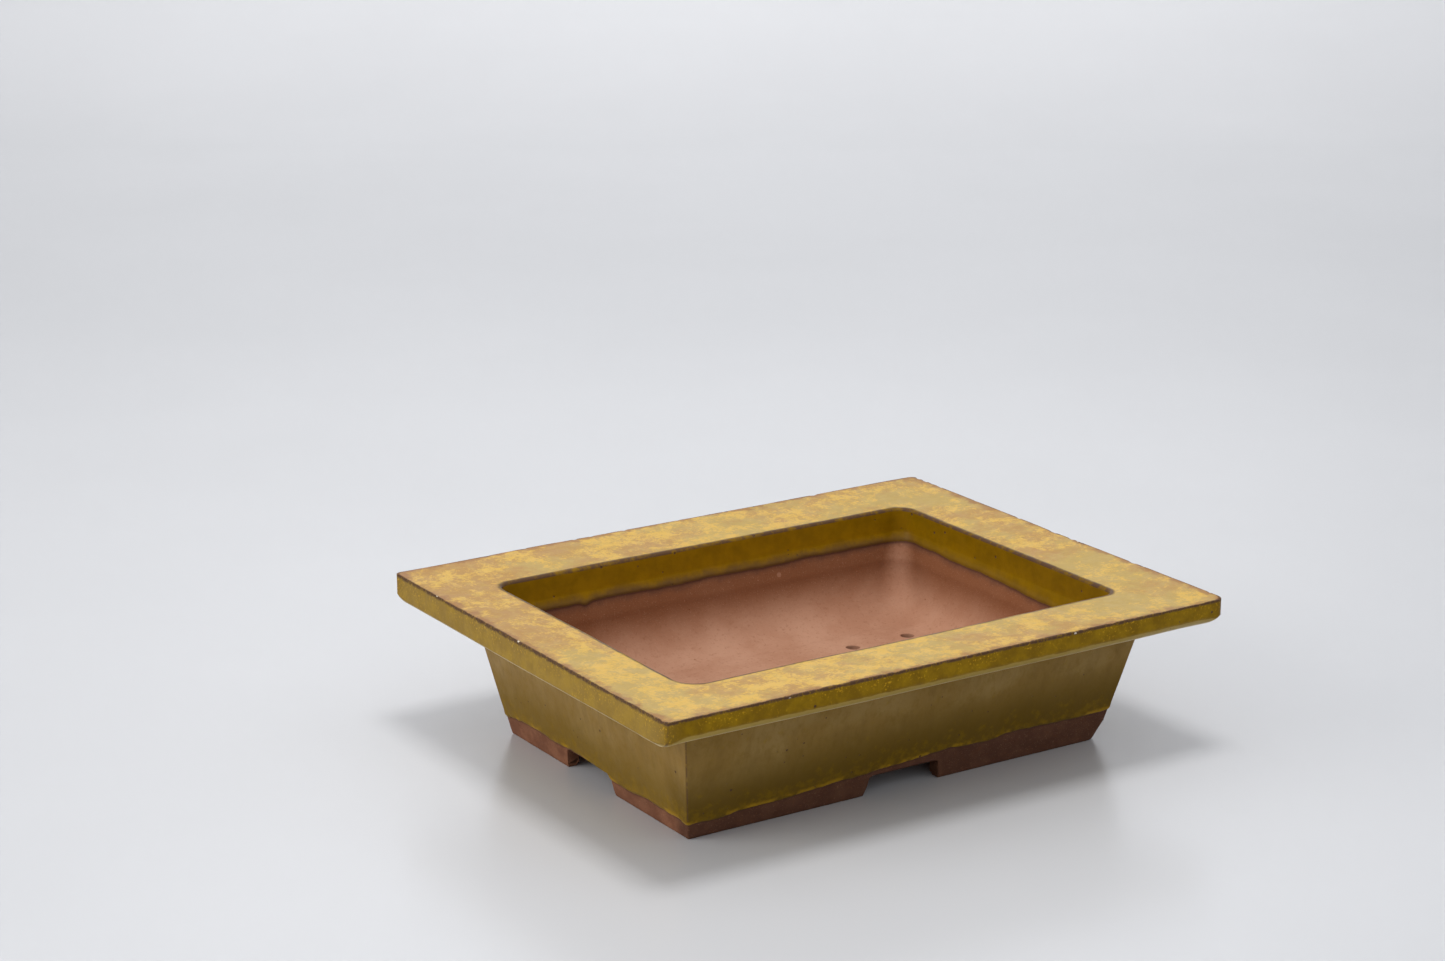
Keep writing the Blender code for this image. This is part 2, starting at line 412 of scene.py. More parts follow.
inside_zone = zone_mask("inside", "lip")
all_glazed = zone_mask("under", "lower", "face", "arris", "top", "lip") > 0
glaze_mm = np.where(all_glazed, COVERED, glaze_distance(plain, inside_zone > 0))
normals_plain = grid_normals(plain, True)
skin = plain + normals_plain * relief(plain, glaze_mm, near_zone("arris", 1.0))[..., None]
# The slab's lower edge is rounded where a notch leaves it free.
notch = smooth(-0.3, 0.6, notch_gap(plain)) * (station < marks["slab_top"])[:, None]
lift = np.clip((plain[..., 2] - sole_z) / SLAB_EDGE, 0, 1)
edge_in = SLAB_EDGE * (1 - np.sqrt(1 - (1 - lift) ** 2)) * notch
skin[..., :2] += normals_plain[..., :2] * -edge_in[..., None]
skin[0, :, 2] = sole_z
skin_normals = grid_normals(skin, True)

lower_share = np.zeros(len(zones))
lower_rows = np.flatnonzero(zones == "lower")
lower_share[lower_rows] = 1 - smooth(0.72, 1.0, np.linspace(0, 1, len(lower_rows)))
# What the materials need to know of each point, stored on the meshes.
front_share, right_share, _, left_share = track["weights"].T
plain_x, plain_y = plain[..., 0], plain[..., 1]
left_front_end = smooth(-85, -120, plain_x) * smooth(-55, -95, plain_y)
cream_rows = (station[:, None] - lower_rows[0] - 3.2 - 1.2 * left_share) / (1.3 + 1.9 * left_share)
facing_x, facing_y = np.abs(track["normal"]).T
on_wall = (zones == "wall")[:, None]
on_corner = on_wall + 0.8 * np.isin(zones, ("face", "lower"))[:, None]
fields = {
    "glaze_mm": glaze_mm,
    "rim_top": near_zone("top", 0.7) * zone_mask("top", "lip", "arris"),
    "rim_face": zone_mask("face", "lower", "arris"),
    # painted light bounced from the floor onto the front rim's lower edge
    "floor_bounce_edge": lower_share[:, None] * front_share,
    "cream_line": np.exp(-(cream_rows**2)),
    "arris": near_zone("arris", 1.4),
    "inside": inside_zone,
    "wall_corner": np.exp(-(((facing_x - facing_y) / 0.42) ** 2)) * on_corner,
    "warm": smooth(60, 190, 0.8 * plain_y - plain_x),
    "dull": smooth(-40, 110, plain_x) + left_front_end,
    "upper_face": near_zone("arris", 5.0) * zone_mask("face", "lower"),
    "border": near_zone("arris", 8.0) * zone_mask("top", "arris"),
    # painted shade on the low front walls and slab
    "front_shade": front_shade_share(plain) * on_wall,
    "right_inside": inside_zone * right_share,
    # painted sheen on the left rim face
    "left_face_sheen": zone_mask("face", "lower") * left_share,
    "lip": near_zone("lip", 0.4),
    # painted highlight down the inner corners
    "corner_highlight": np.exp(-(((facing_x - facing_y) / 0.75) ** 2)) * inside_zone,
}


# ---- closed pieces


class Piece:
    """Collects patches of faces, and makes one closed mesh of them."""

    def __init__(self, name):
        self.name = name
        self.points, self.normals, self.faces, self.shown, self.values = [], [], [], [], []
        self.count = 0

    def patch(self, points, faces, normals=None, values=None):
        """A patch inside a joint, where it can't be seen, has no normals and is shaded flat."""
        points = np.asarray(points, float).reshape(-1, 3)
        size = len(points)
        self.points.append(points)
        self.normals.append(np.zeros((size, 3)) if normals is None else normals.reshape(-1, 3))
        self.faces += [[self.count + index for index in face] for face in faces]
        self.shown += [normals is not None] * len(faces)
        values = values or {}
        blank = np.zeros(size)
        self.values.append({key: np.reshape(values.get(key, blank), size) for key in fields})
        self.count += size

    def grid(self, points, normals=None, values=None):
        rows, columns = points.shape[:2]
        index = np.arange(rows * columns).reshape(rows, columns)
        quads = np.stack([index[:-1, :-1], index[:-1, 1:], index[1:, 1:], index[1:, :-1]], -1)
        self.patch(points, quads.reshape(-1, 4).tolist(), normals, values)

    def build(self):
        points = np.concatenate(self.points)
        normals = np.concatenate(self.normals)
        _, first, index = np.unique(
            np.round(points, 4), axis=0, return_index=True, return_inverse=True
        )
        index = index.reshape(-1)
        faces, corner_normals, shown = [], [], []
        for face, visible in zip(self.faces, self.shown):
            merged, used = [], []
            for corner in face:
                vertex = int(index[corner])
                if vertex not in merged:
                    merged.append(vertex)
                    used.append(corner)
            if len(merged) > 2:
                faces.append(merged)
                corner_normals += [normals[corner] for corner in used]
                shown.append(visible)
        # Where patches meet, a visible patch gives the values.
        seen = np.flatnonzero(np.any(normals != 0, axis=1))[::-1]
        first[index[seen]] = seen
        mesh = bpy.data.meshes.new(self.name)
        mesh.from_pydata((points[first] * MM).tolist(), [], faces)
        mesh.polygons.foreach_set("use_smooth", shown)
        for key in fields:
            column = np.concatenate([values[key] for values in self.values])[first]
            layer = mesh.attributes.new(key, "FLOAT", "POINT")
            layer.data.foreach_set("value", column.astype(np.float32))
        mesh.update()
        mesh.normals_split_custom_set(np.array(corner_normals, float).tolist())
        obj = bpy.data.objects.new(self.name, mesh)
        bpy.context.scene.collection.objects.link(obj)
        return obj


def cut_skin(rows, columns):
    """The skin's points, normals and values at some stations and columns."""
    pick = np.ix_(rows, columns)
    return skin[pick], skin_normals[pick], {key: field[pick] for key, field in fields.items()}


def side_columns(side):
    return np.arange(track["starts"][side], track["starts"][side + 1] + 1) % COLUMNS


coil_bed = place(
    track,
    np.array([inner(coil_top) + BED_STEP, inner(floor_z) + BED_FOOT]),
    np.array([[coil_top] * 4, [floor_z - BED_DEPTH] * 4]),
    np.array([OPENING_CORNERS + BED_CORNER] * 2),
)


def end_caps(piece, loop):
    """Closes a strip at its two mitres. loop is an array of loops, one for each column."""
    for column, turned in ((0, True), (-1, False)):
        outline = loop[:, column]
        reach = np.hypot(outline[:, 0], outline[:, 1])
        flat = [Vector((across, up, 0.0)) for across, up in zip(reach, outline[:, 2])]
        triangles = np.array(tessellate_polygon([flat]))
        a, b, c = (np.stack([reach, outline[:, 2]], -1)[triangles[:, index]] for index in range(3))
        spin = np.cross(b - a, c - a)
        # Seen along the loop, the outline runs one way round at its start and the other at its end.
        wrong = (spin > 0) != turned
        triangles[wrong] = triangles[wrong][:, ::-1]
        piece.patch(outline, triangles.tolist())


def strip(name, side, cuts, bed_rows):
    """A closed strip along one side: cuts of the skin, joined up behind by rows of the bed."""
    piece = Piece(name)
    columns = side_columns(side)
    bed = coil_bed[bed_rows][:, columns]
    loops = []
    for low, high in cuts:
        points, normals, values = cut_skin(np.arange(low, high + 1), columns)
        piece.grid(points, normals, values)
        loops.append(points)
    for points, following in zip(loops, loops[1:]):
        piece.grid(np.stack([points[-1], following[0]]))
    piece.grid(np.stack([loops[-1][-1], *bed, loops[0][0]]))
    end_caps(piece, np.concatenate([*loops, bed]))
    return piece.build()


def rim_strip(side):
    cuts = [(marks["wall_top"], marks["rim_inside"])]
    return strip(f"rim_{SIDE_NAMES[side]}_glazed", side, cuts, [])


def wall_slab(side):
    cuts = [(marks["slab_top"], marks["wall_top"]), (marks["rim_inside"], marks["coil_top"])]
    return strip(f"wall_{SIDE_NAMES[side]}_glazed", side, cuts, [0, 1])


def seam_coil(side):
    cuts = [(marks["coil_top"], len(zones) - 1)]
    return strip(f"seam_{SIDE_NAMES[side]}_pressed", side, cuts, [1, 0])


# The holes' x, y and radius.
HOLES = []
for drain_x in (-DRAIN_X, DRAIN_X):
    HOLES.append((drain_x, 0.0, DRAIN_RADIUS))
    for wire_y in (-WIRE_Y, WIRE_Y):
        HOLES += [(drain_x - WIRE_X, wire_y, WIRE_RADIUS), (drain_x + WIRE_X, wire_y, WIRE_RADIUS)]


def inside_loop(points, loop):
    x, y = points[:, 0], points[:, 1]
    odd = np.zeros(len(points), bool)
    for (x0, y0), (x1, y1) in zip(loop, np.roll(loop, -1, 0)):
        if y0 != y1:
            crosses = (y0 > y) != (y1 > y)
            odd ^= crosses & (x < (x1 - x0) * (y - y0) / (y1 - y0) + x0)
    return odd


def hole_ring(hole, radius, z):
    x, y, size = hole
    count = 48 if size > WIRE_RADIUS else 24
    turns = np.arange(count) * 2 * math.pi / count
    wobble = 1 + 0.03 * np.sin(2 * turns + x) + 0.02 * np.sin(3 * turns + y)
    ring_x = x + radius * wobble * np.cos(turns)
    ring_y = y + radius * wobble * np.sin(turns)
    return np.stack([ring_x, ring_y, np.full(count, z)], -1)


def nearest(plan, others):
    """Distance from each point of the plan to the nearest of the others."""
    away = np.full(len(plan), 1e9)
    for x, y in others:
        away = np.minimum(away, np.hypot(plan[:, 0] - x, plan[:, 1] - y))
    return away


def triangles_between(outlines, fill):
    """Triangles of the plan inside the first outline and outside the others."""
    flat = [*outlines, fill]
    edges, start = [], 0
    for outline in outlines:
        count = len(outline)
        edges += [(start + index, start + (index + 1) % count) for index in range(count)]
        start += count
    # A Vector holds single precision, so the triangles are chosen in that, and then moved
    # to the exact points.
    exact = np.concatenate(flat)
    coarse = exact.astype(np.float32).astype(float)
    found = delaunay_2d_cdt([Vector(point) for point in coarse], edges, [], 0, 1e-6)
    source = np.array([sources[0] for sources in found[3]])
    triangles = np.array(found[2])
    middle = coarse[source][triangles].mean(1)
    ends = np.cumsum([len(outline) for outline in outlines])
    outer_loop, *ring_loops = np.split(coarse, ends)[:-1]
    keep = inside_loop(middle, outer_loop)
    for ring_loop in ring_loops:
        keep &= ~inside_loop(middle, ring_loop)
    return exact[source], triangles[keep]


def spins(points, triangles):
    a, b, c = (points[triangles[:, index]] for index in range(3))
    return np.cross(b - a, c - a)


def flat_fill(piece, loop, height, facing, sink, spacing, inside):
    """A level face between the loop and the holes, sunk a little, with some relief."""
    rings = [hole_ring(hole, hole[2] + HOLE_EDGE, height)[:, :2] for hole in HOLES]
    border = loop[:, :2]
    low, high = border.min(0), border.max(0)
    steps = [np.arange(low[axis], high[axis], spacing) for axis in (0, 1)]
    grid = np.stack(np.meshgrid(*steps), -1).reshape(-1, 2)
    pad = np.column_stack([grid, np.zeros(len(grid))])
    grid = grid + 0.3 * spacing * np.stack([noise(pad, 3, 31), noise(pad, 3, 32)], -1)
    keep = inside_loop(grid, border) & (nearest(grid, border[::3]) > 0.7 * spacing)
    for x, y, radius in HOLES:
        keep &= nearest(grid, [(x, y)]) > radius + HOLE_EDGE + 0.5 * spacing
    plan, triangles = triangles_between([border, *rings], grid[keep])
    turned = spins(plan, triangles) * facing < 0
    triangles[turned] = triangles[turned][:, ::-1]
    points = np.column_stack([plan, np.full(len(plan), height)])
    glaze = np.full(len(plan), BARE)
    rise = facing * (relief(points, glaze, np.zeros(len(plan))) + SKIN_IN + GLAZE_STEP - sink)
    level = -facing * sink
    points[:, 2] += level + (rise - level) * smooth(0, 6, nearest(plan, np.concatenate(rings)))
    # The loop's own points keep their heights, so that the neighbour meets them.
    own = {tuple(np.round(point[:2], 4)): point for point in loop}
    for index, point in enumerate(points):
        points[index] = own.get(tuple(np.round(point[:2], 4)), point)
    slope = np.zeros((len(plan), 3))
    cross = spins(points, triangles)
    for corner in range(3):
        np.add.at(slope, triangles[:, corner], cross)
    slope /= np.maximum(np.linalg.norm(slope, axis=1, keepdims=True), 1e-12)
    values = {"glaze_mm": glaze, "inside": np.full(len(plan), float(inside))}
    piece.patch(points, triangles.tolist(), slope, values)
    return level + height


def floor_plate():
    piece = Piece("floor_slab_fired")
    columns = np.arange(COLUMNS + 1) % COLUMNS
    outside = np.arange(0, marks["slab_top"] + 1)
    points, normals, values = cut_skin(outside, columns)
    piece.grid(points, normals, values)
    piece.grid(np.stack([points[-1], skin[-1][columns]]))
    top = flat_fill(piece, skin[-1], floor_z, 1, SKIN_IN + GLAZE_STEP, 3.4, True)
    bottom = flat_fill(piece, skin[0], sole_z, -1, SOLE_SINK, 4.5, False)
    # The hole's walls in section: how much wider than the hole, and the height.
    section = [(HOLE_EDGE, top), (0.2, top - 0.1), (0.05, top - 0.3)]
    section += [(0.0, z) for z in np.linspace(top - 0.7, bottom + 0.5, 7)]
    section += [(0.15, bottom + 0.15), (HOLE_EDGE, bottom)]
    for hole in HOLES:
        rings = np.stack([hole_ring(hole, hole[2] + wider, z) for wider, z in section])
        rings = np.concatenate([rings, rings[:, :1]], 1)
        normals = -grid_normals(rings, False)
        inward = np.array([hole[0], hole[1], 0]) - rings
        sign = np.sign((normals[..., :2] * inward[..., :2]).sum(-1, keepdims=True))
        normals = normals * np.where(sign == 0, 1, sign)
        bare = np.full(rings.shape[:2], BARE)
        piece.grid(rings, normals, {"glaze_mm": bare, "inside": np.ones(rings.shape[:2])})
    return piece.build()


def foot_section():
    """The foot's outline from the sole of the slab down, across and up again: inset and height."""
    section = [(0.0, z) for z in spread(sole_z, FOOT_EDGE, 0.5)]
    for turn in quarter(4, True):
        section.append((FOOT_EDGE * (1 - math.cos(turn)), FOOT_EDGE * (1 - math.sin(turn))))
    section += [(u, 0.0) for u in spread(FOOT_EDGE, FOOT_THICKNESS - FOOT_EDGE, 0.8)[1:]]
    for turn in quarter(4, True):
        inset = FOOT_THICKNESS - FOOT_EDGE * (1 - math.sin(turn))
        section.append((inset, FOOT_EDGE * (1 - math.cos(turn))))
    section += [(FOOT_THICKNESS, z) for z in spread(FOOT_EDGE, sole_z, 1.2)[1:]]
    return np.array([*section, (FOOT_THICKNESS, sole_z)]).T


def corner_foot(corner):
    """An L-shaped foot: its section, swept from one notch round the corner to the other."""
    piece = Piece(f"foot_{CORNER_NAMES[corner]}_cut")
    sign = CORNER_SIGNS[corner]
    inset, z = foot_section()
    count = len(z)
    flare = NOTCH_FLARE * (1 - z / sole_z)
    notch_y = abs(notch_side[0]) if sign[1] < 0 else notch_side[1]
    ways = [notch_front + flare, notch_y + flare]
    outs = np.array([outer(height) for height in z])
    far = [outs[:, RIGHT] - inset, outs[:, FRONT] - inset]
    worn = FOOT_WORN * (1 - z / sole_z) if CORNER_NAMES[corner] == "front_right" else 0.0
    radius = np.maximum(WALL_CORNER + worn - inset, 0.6 + 0.2 * inset)

    def column(axis, along, across, height=z):
        made = np.empty((count, 3))
        made[:, axis] = along
        made[:, 1 - axis] = across
        made[:, 2] = height
        return made

    # From each notch: a rounded end first, then the straight run.
    runs = []
    for axis in (0, 1):
        across = far[1 - axis]
        tangent = far[axis] - radius
        run = []
        for share in (0.0, 0.1, 0.28, 0.55, 1.0):
            tuck = 0.85 * FOOT_EDGE * (1 - math.sqrt(1 - (1 - share) ** 2))
            narrow = (FOOT_THICKNESS / 2 - inset) * tuck / (FOOT_THICKNESS / 2)
            free = np.clip((sole_z / 2 - z) / (sole_z / 2 - FOOT_EDGE), 0, 1)
            along = ways[axis] + FOOT_EDGE * share
            run.append(column(axis, along, across - narrow, z + tuck * free))
        steps = int(float(tangent.mean() - ways[axis].mean()) / 1.1)
        for share in np.arange(1, steps + 1) / steps:
            along = (ways[axis] + FOOT_EDGE) * (1 - share) + tangent * share
            run.append(column(axis, along, across))
        runs.append(run)
    arc = []
    for turn in quarter(8)[1:]:
        along = far[0] - radius + radius * math.sin(turn)
        arc.append(column(0, along, far[1] - radius + radius * math.cos(turn)))
    loop = np.array([*runs[0], *arc, *runs[1][::-1]]).transpose(1, 0, 2)
    loop = loop * np.array([sign[0], sign[1], 1.0])
    normals = grid_normals(loop, False)
    # At the mirrored corners the loop is turned round, so that its normals point outwards.
    if (normals[3, loop.shape[1] // 4, :2] * sign).sum() < 0:
        loop = loop[:, ::-1]
        normals = grid_normals(loop, False)
    glaze = glaze_distance(loop, np.zeros(loop.shape[:2], bool))
    glaze = np.where((inset > 0.9)[:, None], BARE, glaze)
    level = relief(loop, glaze, np.zeros(loop.shape[:2]))
    level = np.where((inset > FOOT_THICKNESS - 0.01)[:, None], 0.3 * (level + SKIN_IN), level)
    shift = normals * level[..., None]
    # The sole stays flat on the ground.
    shift[..., 2] *= smooth(0.0, 1.0, loop[..., 2])
    points = loop + shift
    points[..., 2] = np.maximum(points[..., 2], 0.0)
    points[[0, -1], :, 2] = sole_z
    # The front feet are marked for painted shade.
    values = {"glaze_mm": glaze, "front_shade": front_shade_share(points)}
    piece.grid(points, grid_normals(points, False), values)
    piece.grid(np.stack([points[-1], points[0]]))
    for end, order in ((0, 1), (-1, -1)):
        outline = points[:, end]
        way = outline.mean(0) - points[:, end + order * 3].mean(0)
        way = np.repeat((way / np.linalg.norm(way))[None], count, 0)
        values = {"glaze_mm": np.full(count, BARE), "front_shade": front_shade_share(outline)}
        piece.patch(outline, [list(range(count))[::order]], way, values)
    return piece.build()


# ---- materials
# Colours are linear RGB.
TOP_YELLOW = (0.605, 0.378, 0.086)
TOP_KHAKI = (0.425, 0.296, 0.098)
TOP_PINK = (0.4, 0.228, 0.08)
BORDER_BROWN = (0.3, 0.15, 0.066)
TOP_PALE = (0.485, 0.34, 0.102)
FACE_MUSTARD = (0.185, 0.1, 0.001)
FACE_OCHRE = (0.268, 0.153, 0.001)
FACE_SPECK = (0.6, 0.33, 0.01)
# Painted light bounced up from the floor onto the front rim's lower edge.
FLOOR_BOUNCE_PALE = (0.36, 0.245, 0.055)
CREAM = (0.62, 0.5, 0.29)
WALL_KHAKI = (0.3, 0.19, 0.06)
WALL_BROWN = (0.25, 0.148, 0.036)
WALL_MUSTARD = (0.165, 0.093, 0.004)
INSIDE_MUSTARD = (0.278, 0.148, 0.001)
INSIDE_OLIVE = (0.205, 0.109, 0.001)
SHADE = (0.02, 0.012, 0.0)
BREAK_BROWN = (0.07, 0.036, 0.028)
CHIP = (0.7, 0.62, 0.5)
CLAY = (0.355, 0.163, 0.094)
CLAY_PALE = (0.48, 0.262, 0.168)
CLAY_DARK = (0.17, 0.055, 0.018)
# Painted shade for the low front walls.
WALL_FRONT_SHADE = (0.085, 0.046, 0.003)
WALL_SHADE = (0.165, 0.095, 0.018)
# Painted shade for the front feet.
FOOT_FRONT_SHADE = (0.05, 0.022, 0.014)
FOOT_CLAY = (0.24, 0.104, 0.056)
FOOT_DARK = (0.165, 0.066, 0.036)
SPECULAR = 0.08
BUMP_DEPTH = 0.14 * MM


class Weave:
    """Short ways to add and join the nodes of one material."""

    def __init__(self, name):
        self.material = bpy.data.materials.new(name)
        self.material.use_nodes = True
        self.tree = self.material.node_tree
        self.shader = self.tree.nodes["Principled BSDF"]
        self.place = self.node("ShaderNodeTexCoord").outputs["Object"]

    def node(self, kind, **settings):
        made = self.tree.nodes.new(kind)
        for key, value in settings.items():
            setattr(made, key, value)
        return made

    def feed(self, socket, value):
        if isinstance(value, bpy.types.NodeSocket):
            self.tree.links.new(value, socket)
        elif isinstance(value, tuple) and len(value) == 3 and socket.type == "RGBA":
            socket.default_value = (*value, 1.0)
        else:
            socket.default_value = value

    def math(self, operation, a, b):
        made = self.node("ShaderNodeMath", operation=operation)
        self.feed(made.inputs[0], a)
        self.feed(made.inputs[1], b)
        return made.outputs[0]

    def times(self, a, b):
        return self.math("MULTIPLY", a, b)

    def plus(self, a, b):
        return self.math("ADD", a, b)

    def minus(self, a, b):
        return self.math("SUBTRACT", a, b)

    def band(self, value, low, high, out_low=0.0, out_high=1.0):
        """A smooth step from one value to another, while the input goes from low to high."""
        made = self.node("ShaderNodeMapRange", interpolation_type="SMOOTHSTEP")
        for socket, item in zip(made.inputs, (value, low, high, out_low, out_high)):
            self.feed(socket, item)
        return made.outputs[0]

    def mix(self, share, a, b):
        made = self.node("ShaderNodeMix", data_type="RGBA")
        self.feed(made.inputs[0], share)
        self.feed(made.inputs[6], a)
        self.feed(made.inputs[7], b)
        return made.outputs[2]

    def blend(self, share, a, b):
        made = self.node("ShaderNodeMix", data_type="FLOAT")
        self.feed(made.inputs[0], share)
        self.feed(made.inputs[2], a)
        self.feed(made.inputs[3], b)
        return made.outputs[0]

    def field(self, name):
        return self.node("ShaderNodeAttribute", attribute_name=name).outputs["Fac"]

    def noise(self, size, detail=3.0, rough=0.55, bend=0.0, shift=0.0, stretch=(1.0, 1.0, 1.0)):
        """Noise with patches about size millimetres across."""
        moved = self.node("ShaderNodeMapping")
        self.feed(moved.inputs["Vector"], self.place)
        moved.inputs["Location"].default_value = (shift, 2 * shift, -shift)
        moved.inputs["Scale"].default_value = stretch
        made = self.node("ShaderNodeTexNoise")
        self.feed(made.inputs["Vector"], moved.outputs[0])
        made.inputs["Scale"].default_value = 1 / (size * MM)
        made.inputs["Detail"].default_value = detail
        made.inputs["Roughness"].default_value = rough
        made.inputs["Distortion"].default_value = bend
        return made.outputs["Fac"]

    def spots(self, spacing, radius, share, shift=0.0):
        """Round spots: 1 inside, 0 outside. Only some cells, by share, hold one."""
        moved = self.node("ShaderNodeMapping")
        self.feed(moved.inputs["Vector"], self.place)
        moved.inputs["Location"].default_value = (shift, shift, shift)
        made = self.node("ShaderNodeTexVoronoi")
        self.feed(made.inputs["Vector"], moved.outputs[0])
        made.inputs["Scale"].default_value = 1 / (spacing * MM)
        close = self.band(made.outputs["Distance"], radius / spacing, 0.6 * radius / spacing)
        parts = self.node("ShaderNodeSeparateColor")
        self.feed(parts.inputs[0], made.outputs["Color"])
        return self.times(close, self.math("LESS_THAN", parts.outputs[0], share))


def rim_top_colour(w, fine, shift):
    """Yellow patches with grainy edges, over khaki and a pinkish tan, browner at the border."""
    grain = w.times(w.minus(w.noise(1.3, 5, 0.75, shift=0.33), 0.5), 0.55)
    patch = w.plus(w.noise(11, 10, 0.72, 0.1, shift=shift), grain)
    patch = w.minus(patch, w.times(w.field("dull"), 0.055))
    tan = w.plus(w.noise(42, 8, 0.66, 0.1, shift=shift + 0.3), w.times(grain, 0.5))
    tan = w.plus(tan, w.times(w.field("warm"), 0.22))
    khaki = w.mix(w.band(tan, 0.46, 0.62), TOP_KHAKI, TOP_PINK)
    patch = w.minus(patch, w.times(w.field("warm"), 0.06))
    colour = w.mix(w.band(patch, 0.425, 0.575), khaki, TOP_YELLOW)
    colour = w.mix(w.band(w.noise(3, 5, 0.65, shift=0.61), 0.45, 0.70, 0.0, 0.45), colour, TOP_PALE)
    colour = w.mix(w.band(fine, 0.58, 0.76, 0.0, 0.35), colour, TOP_PINK)
    worn = w.field("border")
    worn = w.plus(worn, w.band(w.noise(9, 6, 0.68, shift=0.83), 0.3, 0.7, -0.5, 0.35))
    worn = w.plus(worn, w.times(w.field("warm"), 0.12))
    return w.mix(w.band(worn, 0.42, 0.92, 0.0, 0.8), colour, BORDER_BROWN)


def rim_face_colour(w):
    """Deep mustard, with brighter specks under the top edge; painted light bounced from the floor
    pales the front's lower edge, and painted sheen pales the left face.
    """
    specks = w.band(w.noise(0.95, 2, 0.5, shift=0.7), 0.55, 0.70)
    gather = w.plus(w.noise(9, 5, 0.65), w.times(w.field("upper_face"), 0.18))
    specks = w.times(specks, w.band(gather, 0.48, 0.68, 0.08, 1.0))
    colour = w.mix(w.band(w.noise(7, 5, 0.65, shift=0.21), 0.35, 0.68), FACE_MUSTARD, FACE_OCHRE)
    colour = w.mix(w.times(specks, 0.7), colour, FACE_SPECK)
    # Painted light bounced from the floor: the front's lower edge is paled.
    pale = w.field("floor_bounce_edge")
    pale = w.plus(pale, w.band(w.noise(8, 4, 0.6, shift=0.15), 0.3, 0.7, -0.24, 0.24))
    colour = w.mix(w.band(pale, 0.34, 0.62, 0.0, 0.9), colour, FLOOR_BOUNCE_PALE)
    # Painted sheen: the left rim face, lit from the left, is paled towards khaki.
    return w.mix(w.times(w.field("left_face_sheen"), 0.22), colour, TOP_KHAKI)


def wall_colour(w):
    """Dull khaki that gathers into mustard above the glaze's edge."""
    haze = w.noise(24, 5, 0.55, 0.3, shift=1.1)
    colour = w.mix(w.band(haze, 0.38, 0.64), WALL_BROWN, WALL_KHAKI)
    mottle = w.noise(2.6, 5, 0.7, shift=0.9, stretch=(1.0, 1.0, 0.7))
    colour = w.mix(w.band(mottle, 0.46, 0.70, 0.0, 0.30), colour, WALL_MUSTARD)
    colour = w.mix(w.band(w.field("glaze_mm"), 26, 3, 0.0, 0.85), colour, WALL_MUSTARD)
    streak = w.noise(5, 5, 0.62, shift=0.2, stretch=(1.0, 1.0, 0.3))
    colour = w.mix(w.band(streak, 0.44, 0.68, 0.0, 0.32), colour, WALL_SHADE)
    # Painted shade: the low walls on the front are darkened.
    low_front_shade = w.times(w.field("front_shade"), w.band(w.field("glaze_mm"), 26, 3, 0.0, 0.55))
    colour = w.mix(low_front_shade, colour, WALL_FRONT_SHADE)
    blotch = w.plus(w.noise(4, 5, 0.7, shift=0.35), w.band(w.field("glaze_mm"), 12, 1, 0.0, 0.16))
    return w.mix(w.band(blotch, 0.58, 0.76, 0.0, 0.36), colour, FACE_OCHRE)


def inside_colour(w):
    """The band of glaze inside the opening."""
    lip_share = w.band(w.noise(9, 5, 0.65, shift=2.0), 0.36, 0.64, 0.0, 0.65)
    lip_share = w.plus(lip_share, w.band(w.field("glaze_mm"), 10, 5, 0.0, 0.3))
    colour = w.mix(lip_share, INSIDE_OLIVE, INSIDE_MUSTARD)
    # Painted shade: the glaze on the right inner wall is darkened.
    return w.mix(w.times(w.field("right_inside"), 0.24), colour, SHADE)


def clay_colour(w, inside, edge, soft_edge):
    """Lighter and warmer inside and darker on the feet, with painted shade on the front feet and on
    the inner walls below the glaze, and a dark brown edge along the glaze.
    """
    cloud = w.noise(23, 6, 0.6, shift=0.5)
    inner_clay = w.mix(w.band(cloud, 0.32, 0.68, 0.25, 0.85), CLAY, CLAY_PALE)
    # Painted shade: the inner clay darkens up the walls towards the glaze's edge.
    inner_wall_shade = w.band(edge, -27, -6.0, 0.0, 0.95)
    # Painted highlight: the inner corners keep lighter clay.
    inner_wall_shade = w.times(inner_wall_shade, w.minus(1.0, w.times(w.field("corner_highlight"), 0.65)))
    inner_clay = w.mix(inner_wall_shade, inner_clay, CLAY_DARK)
    foot_clay = w.mix(w.band(w.noise(8, 5, 0.65, shift=0.8), 0.38, 0.66), FOOT_DARK, FOOT_CLAY)
    # Painted shade: the front feet are darkened.
    foot_clay = w.mix(w.times(w.field("front_shade"), 0.62), foot_clay, FOOT_FRONT_SHADE)
    clay = w.mix(inside, foot_clay, inner_clay)
    grit = w.noise(0.55, 2, 0.7, shift=0.9)
    clay = w.mix(w.band(grit, 0.58, 0.76, 0.0, 0.40), clay, CLAY_PALE)
    clay = w.mix(w.band(w.noise(1.5, 4, 0.7, shift=0.29), 0.52, 0.72, 0.0, 0.30), clay, CLAY_DARK)
    clay = w.mix(w.spots(6, 0.35, 0.35, 0.57), clay, CLAY_DARK)
    clay = w.mix(w.times(w.spots(21, 1.3, 0.25, 0.41), 0.35), clay, CLAY_PALE)
    clay = w.mix(w.band(edge, -1.2, -0.1, 0.0, 0.45), clay, BREAK_BROWN)
    burnt_edge = w.times(inside, w.band(soft_edge, -3.5, 0.0, 0.0, 0.5))
    return w.mix(burnt_edge, clay, BREAK_BROWN), grit


